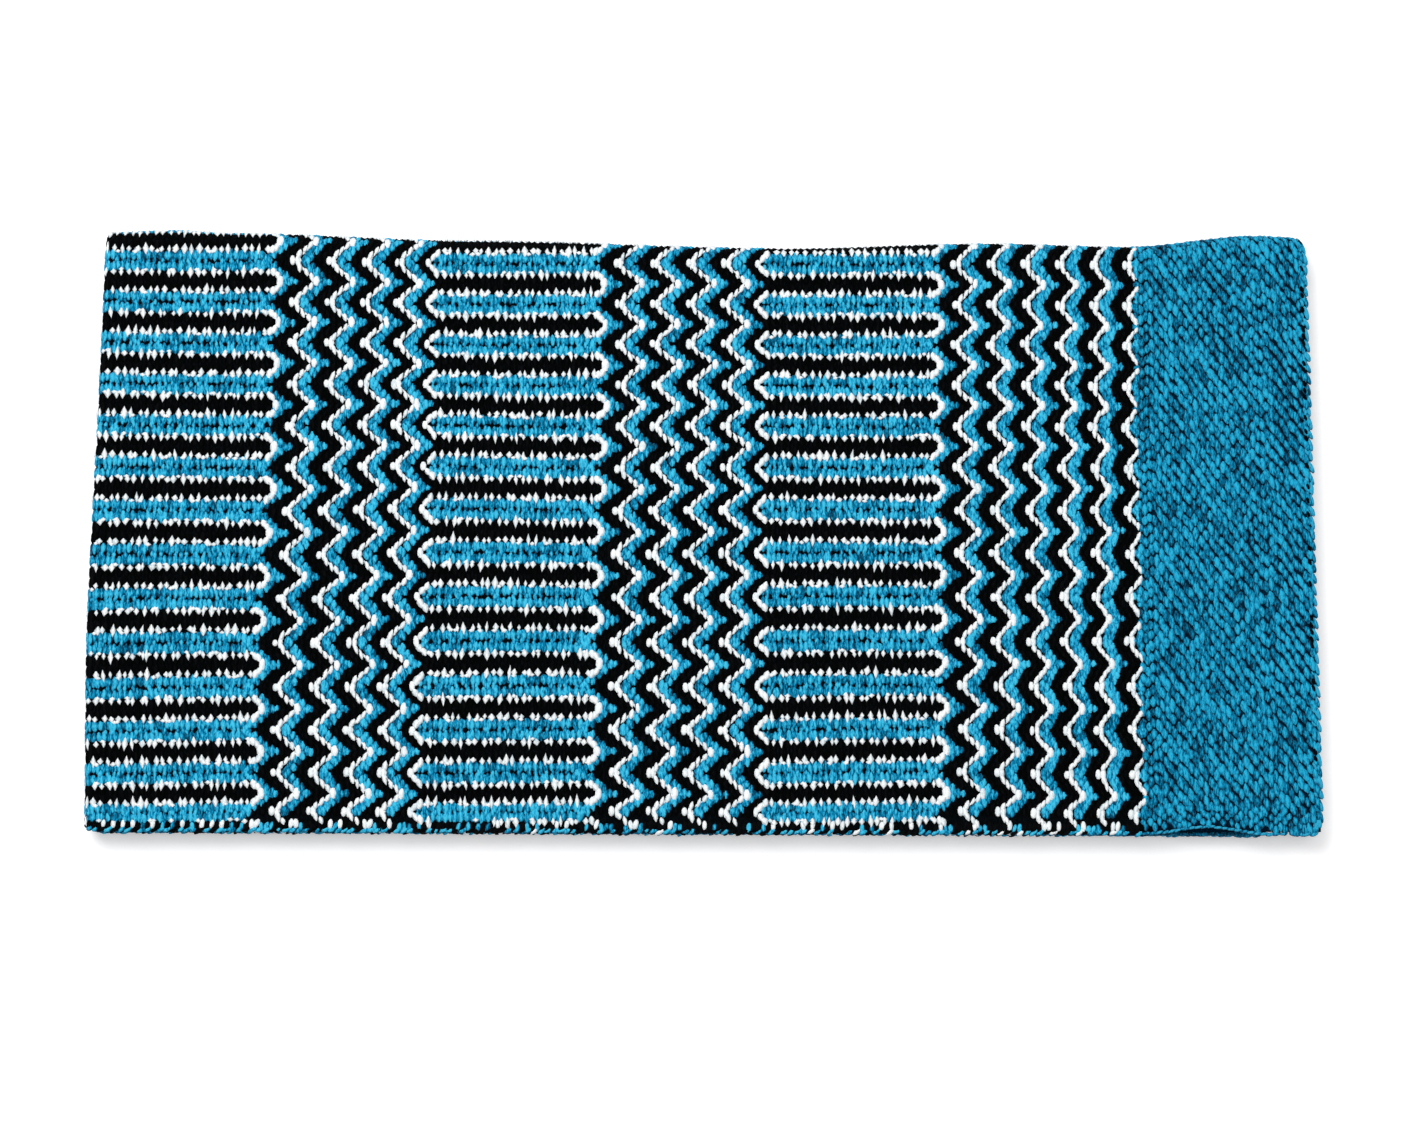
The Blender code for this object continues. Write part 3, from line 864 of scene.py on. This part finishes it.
def grain_points(grain, placed, seat, squash=1.0):
    """All points of grains laid at places on the cloth, folded into the pack."""
    shape = grain[0]
    reach, run, wide, length, tall, tilt, taper, lift = (placed[:, i:i + 1] for i in range(8))
    narrowing = 1 - 2 * taper * shape[:, 1]
    across = shape[:, 0] * wide * narrowing
    along = shape[:, 1] * length
    turned = across * np.cos(tilt) + along * np.sin(tilt)
    onward = along * np.cos(tilt) - across * np.sin(tilt)
    height = (lift + shape[:, 2] * tall * np.minimum(narrowing, 1)) * squash
    return on_cloth(reach + turned, run + onward, seat + height)


def lay(pieces, name, grain, placed, wool, slot, seat=GROUND_TOP - SEAT, squash=1.0):
    """Adds one mesh of many grains to a list of pieces, or nothing where no float is placed.

    Each grain has its own random tone, plus painted shade that darkens it towards its base, where the yarn
    sinks into the cloth."""
    if len(placed) == 0:
        return
    points = grain_points(grain, placed, seat, squash).reshape(-1, 3)
    corners = len(grain[0])
    faces = (grain[1][None] + corners * np.arange(len(placed))[:, None, None]).reshape(-1, 3)
    # painted shade: points low on each grain get a darker tone, standing for the shade where the yarn sinks
    # between its neighbours
    risen = np.clip(grain[0][:, 2] * placed[:, 4:5] / FULL_RISE, 0, 1)
    tone_and_painted_shade = np.clip(rng.normal(0.5, 0.24, (len(placed), 1)) + PAINTED_SHADE_WHERE_SUNK * (risen - 0.6), 0, 1).ravel()
    piece = mesh_object(name, points, faces, [wool], tone_and_painted_shade=tone_and_painted_shade)
    pieces.append(piece)
    made_pieces.append(piece)


def on_side(placed, long_side):
    """Pattern places turned into reach and run on the long or the short side, within that side's ends."""
    laid = placed.copy()
    offset = OUTLINE_LEFT + placed[:, 0] - LEFT + FOLD_HALF
    if long_side:
        laid[:, 0] = offset
        return laid[(offset > 0) & (offset < long_end - CUT_BACK)]
    laid[:, 0] = -(offset - SHORTER)
    laid[:, 5] *= -1
    return laid[(offset - SHORTER > 0) & (-laid[:, 0] < -short_end - CUT_BACK)]


def shown_at_fold(laid, shade):
    """Drops most white floats on the outermost round of the length fold, where they sink in."""
    if shade != "white":
        return laid
    return laid[(np.abs(laid[:, 0]) > BARE_ROUND) | (np.arange(len(laid)) % 4 == 0)]


def hidden_black(laid, shade):
    """Every second black float of a leaf that lies over dark ground inside the pack or underneath."""
    return laid[::2] if shade == "black" else laid


def in_plain_band(reach):
    """Whether a reach lies past the pattern, at either end."""
    return (reach > BAND_REACH[1]) | (reach < BAND_REACH[0])


def parts_by_turn(laid):
    """Whether floats lie on the upper leaves, on the turn at the far side or on the lower leaves."""
    turn = turn_run(laid[:, 0])
    upper, lower = laid[:, 1] < turn, laid[:, 1] > turn + 2 * TURN_HALF
    return upper, ~(upper | lower), lower


def split_by_turn(laid):
    """Floats on the upper leaves, on the turn and on the lower leaves, without those under the selvedges."""
    upper, turning, lower = parts_by_turn(laid)
    inward = np.where(in_plain_band(laid[:, 0]), PLAIN_INWARD, WOVEN_INWARD)
    upper = upper & (laid[:, 1] > near_run(laid[:, 0], inward, True))
    lower = lower & (laid[:, 1] < near_run(laid[:, 0], inward, False))
    return laid[upper], laid[turning], laid[lower]


def pattern_place(reach):
    """Distance across the pattern of a reach on either side of the length fold."""
    across = np.where(reach > 0, reach, -reach + SHORTER)
    return across - FOLD_HALF + LEFT - OUTLINE_LEFT


def in_zigzag(reach):
    """Whether a reach lies in one of the zigzag bands."""
    across = pattern_place(reach)
    starts = [band["first"] - band["pitch"] for band in BANDS]
    ends = [band["first"] + band["pitch"] * band["lines"] for band in BANDS]
    return np.any([(across > start) & (across < end) for start, end in zip(starts, ends)], axis=0)


TOP_GRAIN = {"white": tooth_grain, "stitch": leaf_grain, "knob": full_grain, "turquoise": pointed_grain,
             "black": plain_grain, "band": leaf_grain}
outer_pieces, inner_pieces, corner_outer_pieces, corner_inner_pieces = [], [], [], []
upper_pieces, lower_pieces, outer_end_pieces = [], [], []
for shade, placed in woven.items():
    top_grain, yarn = TOP_GRAIN[shade], (WOOL[shade], SLOT[shade])
    upper, turning, lower = split_by_turn(shown_at_fold(on_side(placed, True), shade))
    if shade == "band":
        lay(upper_pieces, "top_band_floats", top_grain, upper, *yarn)
    else:
        zigzag = in_zigzag(upper[:, 0])
        lay(upper_pieces, f"top_{shade}_zigzag_floats", top_grain, upper[zigzag], *yarn)
        lay(upper_pieces, f"top_{shade}_stripe_floats", top_grain, upper[~zigzag], *yarn)
    lay(lower_pieces, f"base_{shade}_floats", under_grain, hidden_black(lower, shade), *yarn)
    corner, end = turning[:, 0] < FOLD_HALF, turning[:, 0] >= inner_end
    lay(outer_pieces, f"outer_turn_{shade}_floats", top_grain, turning[~corner & ~end], *yarn)
    lay(outer_end_pieces, "outer_turn_end_floats", top_grain, turning[end], *yarn)
    lay(corner_outer_pieces, f"corner_outer_{shade}_floats", plain_grain, turning[corner], *yarn)
    upper, turning, lower = split_by_turn(shown_at_fold(on_side(placed, False), shade))
    lay(upper_pieces, f"third_{shade}_floats", under_grain, hidden_black(upper, shade), *yarn)
    lay(lower_pieces, f"second_{shade}_floats", under_grain, hidden_black(lower, shade), *yarn)
    corner = turning[:, 0] > -FOLD_HALF
    lay(inner_pieces, f"inner_turn_{shade}_floats", hidden_grain, turning[~corner], *yarn)
    lay(corner_inner_pieces, f"corner_inner_{shade}_floats", hidden_grain, turning[corner], *yarn,
        squash=CORNER_SQUASH)
bare_strip = on_side(woven["band"], True)
bare_strip = bare_strip[bare_strip[:, 0] > reach_at(SHORT_RIGHT, True) - 2 * MM]
for name, placed, pieces in zip(("top", "outer_turn", "base"), split_by_turn(bare_strip),
                                (upper_pieces, outer_end_pieces, lower_pieces)):
    lay(pieces, f"{name}_inner_face_floats", small_round_grain, placed, band_wool, "turquoise_weave",
        INNER_SEAT)
print("floats laid:", {piece.name: len(piece.data.polygons) for piece in made_pieces})

# %% [markdown]
# ## Selvedges, end cords and corner knots
#
# Along the near side each pick of weft turns back round the outer warps, so the selvedge is a cord of short
# mottled loops. At the blanket's end a looped cord finishes the warps. Its strand dips at every loop, which
# scallops the edge, and small eyes open between it and the cloth. The eyes are low grains in the dark ground
# colour, painted shade in place of holes. At each free corner the cords are tied and drawn in as a plump
# bunch of loops. The loops, cords and knots are full round grains laid along their lines.

# %% Selvedge loops along the near side
LOOP_PITCH = 3.3 * MM
LOOP_SEAT = CLOTH - 2.15 * MM
EDGE_PITCH = 4.4 * MM
MOTTLES = ("black", "turquoise", "white")
EDGE_SHARES = (0.34, 0.60, 0.06)


def loop_shades(reach):
    """Which yarn shows in each selvedge loop: a zigzag's own where one runs out, or else a mix."""
    across = pattern_place(reach)
    mix = rng.choice((2, 1, 0), len(reach), p=(0.42, 0.36, 0.22))
    shade = np.where(np.arange(len(reach)) % 2 == 0, 0, mix)
    for band in BANDS:
        past_tip = (across - band["first"] - 0.6 * band["swing"]) / band["pitch"]
        inside = (past_tip > -1) & (past_tip < band["lines"] - 0.4)
        part = np.mod(past_tip, 1)
        zigzag = np.where(part < 0.17, 2, np.where(part < 0.46, 1, 0))
        shade = np.where(inside & (rng.random(len(reach)) < 0.8), zigzag, shade)
    return shade


def selvedge_loops(upper):
    """Loops over the near selvedge from one end hem to the other, and the strand that they turn round."""
    start = reach_at(leaf["third"]["hem_start"], False) + 2 * MM
    end = reach_at(leaf["top"]["hem_start"], True)
    reach = np.arange(start, end, LOOP_PITCH)
    shade = loop_shades(reach)
    loops = floats(reach, near_run(reach, np.choose(shade, (4.7, 4.1, 5.8)) * MM, upper),
                   np.choose(shade, (4.6, 3.4, 3.9)), np.choose(shade, (8.6, 6.4, 7.0)), 4.0)
    loops[:, 5] = np.radians(rng.normal(6, 9, len(loops)))
    edge_reach = np.arange(start, end, EDGE_PITCH)
    inward, wide, length, tilt = (np.where(in_plain_band(edge_reach), in_band, in_pattern)
                                  for in_band, in_pattern in ((1.3, 1.9), (2.4, 3.0), (6.2, 7.0), (78, 62)))
    strand = floats(edge_reach, near_run(edge_reach, inward * MM, upper), wide, length, 5.4, tilt)
    strand[:, 5] += np.radians(rng.normal(0, 7, len(strand)))
    edge_shade = rng.choice(3, len(strand), p=EDGE_SHARES)
    placed, shade = np.concatenate([loops, strand]), np.concatenate([shade, edge_shade])
    placed[:, 2:4] *= 1 + rng.normal(0, 0.08, (len(placed), 2))
    placed[:, 1] += rng.normal(0, 0.2 * MM, len(placed))
    is_strand = np.arange(len(placed)) >= len(loops)
    return placed, in_plain_band(placed[:, 0]), shade, is_strand


for half, upper, pieces in (("upper", True, upper_pieces), ("lower", False, lower_pieces)):
    placed, plain, shade, is_strand = selvedge_loops(upper)
    for number, yarn in enumerate(MOTTLES):
        for part, chosen, seat in (("loops", ~is_strand, LOOP_SEAT), ("strand", is_strand, CLOTH / 2)):
            lay(pieces, f"{half}_selvedge_{yarn}_{part}", round_grain,
                placed[chosen & ~plain & (shade == number)], WOOL[yarn], "mottled_selvedge", seat)
    lay(pieces, f"{half}_selvedge_band_strand", round_grain, placed[plain & is_strand], cord_wool,
        "mottled_selvedge", CLOTH / 2)

# %% Looped cords along the blanket's ends
STRAND_PITCH = 7.7 * MM
TIE_PITCH = STRAND_PITCH * 0.62
EYE_SHARE = 0.34


def end_cord(long_side):
    """The looped cord from the near corner, round the far turn, to the other near corner.

    An outer strand scallops the edge. Slanting loops tie it to the cloth, with eyes in place of some: low
    grains in the dark ground colour, painted shade where the holes are."""
    right = LONG_RIGHT if long_side else SHORT_RIGHT
    reach = reach_at(right - 2.6 * MM, long_side)
    reaches = np.array([reach])
    start = near_run(reaches, leaf["top"]["knot_near"] - NEAR, True)[0]
    end = near_run(reaches, leaf["base"]["knot_near"] - LOWER_NEAR, False)[0]
    run = np.arange(start, end, STRAND_PITCH)
    side = 1 if long_side else -1
    strand = floats(reach + side * 0.8 * MM, run, 3.8, 10.2, 5.2, -18 * side)
    tie_run = np.arange(start, end, TIE_PITCH)
    ties = floats(reach - side * 1.9 * MM, tie_run, 3.4, 6.8, 5.0, -24 * side)
    eye = rng.random(len(ties)) < EYE_SHARE
    # eye patches: low grains in the dark ground colour, painted shade where the cord's holes are
    eye_shade_patches = floats(reach - side * 1.7 * MM, tie_run[eye], 2.6, 4.8, 1.6, -20 * side, lift=0.9)
    placed = np.concatenate([strand, ties[~eye]])
    placed[:, 2:4] *= 1 + rng.normal(0, 0.1, (len(placed), 2))
    placed[:, 5] += np.radians(rng.normal(0, 6, len(placed)))
    return placed, eye_shade_patches


for long_side, names in ((True, ("top", "outer_turn", "base")), (False, ("third", "inner_turn", "second"))):
    lists = (upper_pieces, outer_end_pieces if long_side else inner_pieces, lower_pieces)
    cords, eye_shade_patches = end_cord(long_side)
    # the eye patches use the crevice-shade ground colour: painted shade inside the cord's holes
    for placed, grain, wool, part, seat in ((cords, round_grain, cord_wool, "end_cord", CLOTH / 2),
                                            (eye_shade_patches, plain_grain, crevice_shade_ground, "cord_eyes", GROUND_TOP - SEAT)):
        for name, group, pieces in zip(names, parts_by_turn(placed), lists):
            lay(pieces, f"{name}_{part}", grain, placed[group], wool, "turquoise_cord", seat)

# %% Corner knots
KNOT_LOOPS = (
    # in from the end, in from the near edge, wide, long, tall, tilt
    (21.4, 4.2, 4.6, 8.4, 5.3, -18), (17.2, 4.0, 5.0, 9.4, 5.6, 6), (13.2, 4.3, 5.0, 10.0, 5.8, -8),
    (9.2, 4.4, 5.1, 9.8, 5.8, -20), (5.4, 5.2, 5.4, 9.0, 5.6, 10), (3.0, 8.4, 4.6, 7.4, 5.2, -8),
    (15.2, 11.2, 4.6, 8.0, 5.2, -24), (11.2, 11.8, 4.8, 8.4, 5.6, 12), (7.0, 12.2, 5.0, 8.8, 5.6, -26),
    (3.4, 13.2, 4.4, 8.0, 5.2, -4), (12.6, 1.2, 3.4, 8.6, 4.4, 84), (19.0, 1.2, 3.2, 8.0, 4.4, 94),
    (6.2, 1.6, 3.6, 6.4, 4.6, 66),
)


def corner_knot(name):
    """A bunch of fat loops that fills a leaf's free corner, rounded at the blanket's own corner."""
    here = leaf[name]
    long_side, upper = name in LONG_LEAVES, name in UPPER_LEAVES
    inward, up, wide, length, tall, tilt = np.array(KNOT_LOOPS).T
    x, y = here["right"] - inward * MM, here["near"] + up * MM
    reach = reach_at(x, long_side)
    side = 1 if long_side == upper else -1
    return floats(reach, run_at(x, y, upper, right_end(reach)), wide, length, tall, tilt * side)


for name in LEAVES:
    pieces = upper_pieces if name in UPPER_LEAVES else lower_pieces
    lay(pieces, f"{name}_corner_loops", round_grain, corner_knot(name), cord_wool, "turquoise_cord",
        CLOTH / 2)

# %% [markdown]
# ## Ride, part and replace
#
# Pieces on the leaves ride with their half. Pieces on the far turns part at the hinge's height: their points
# are kept clear of it, above or below. Turned smoothly instead, their middles would stand up like a ridge.
# The imported solids that the cloth stands for are hidden.

OUTER_CLEAR, INNER_CLEAR = 0.75 * MM, 0.07 * MM


def parts_at_hinge(piece, clear):
    """Pushes a piece's points clear of the hinge's height, each on its own side of it, and bakes its
    transform.
    """
    points = np.empty(len(piece.data.vertices) * 3)
    piece.data.vertices.foreach_get("co", points)
    points = points.reshape(-1, 3)
    above = points[:, 2] - STACK_MIDDLE
    points[:, 2] = STACK_MIDDLE + np.where(above >= 0, 1, -1) * np.maximum(np.abs(above), clear)
    piece.data.vertices.foreach_set("co", points.ravel())
    piece.data.update()
    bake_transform(piece)


for piece in (lower_ground, *lower_pieces):
    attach(piece, "lower_half")
for piece in (upper_ground, *upper_pieces):
    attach(piece, "upper_half")
for piece in (outer_ground, *outer_pieces, outer_end_ground, *outer_end_pieces,
              corner_outer, *corner_outer_pieces):
    parts_at_hinge(piece, OUTER_CLEAR)
for piece in (inner_ground, *inner_pieces, corner_inner, *corner_inner_pieces):
    parts_at_hinge(piece, INNER_CLEAR)

for half, ground in (("lower", lower_ground), ("upper", upper_ground)):
    for name in (("base", "second") if half == "lower" else ("third", "top")):
        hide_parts(f"{name}_patterned_panel", f"{name}_end_band", f"{name}_end_hem")
        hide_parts(f"{name}_corner_knot")
        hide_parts(f"{name}_looped_end_cord")
        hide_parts(f"{name}_selvedge_cord")
    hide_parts(f"length_fold_{half}")
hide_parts("width_fold_outer")
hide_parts("width_fold_inner")
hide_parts("far_left_knuckle")

# %% Measure the finished blanket
print("triangles:", sum(len(piece.data.polygons) for piece in made_pieces))
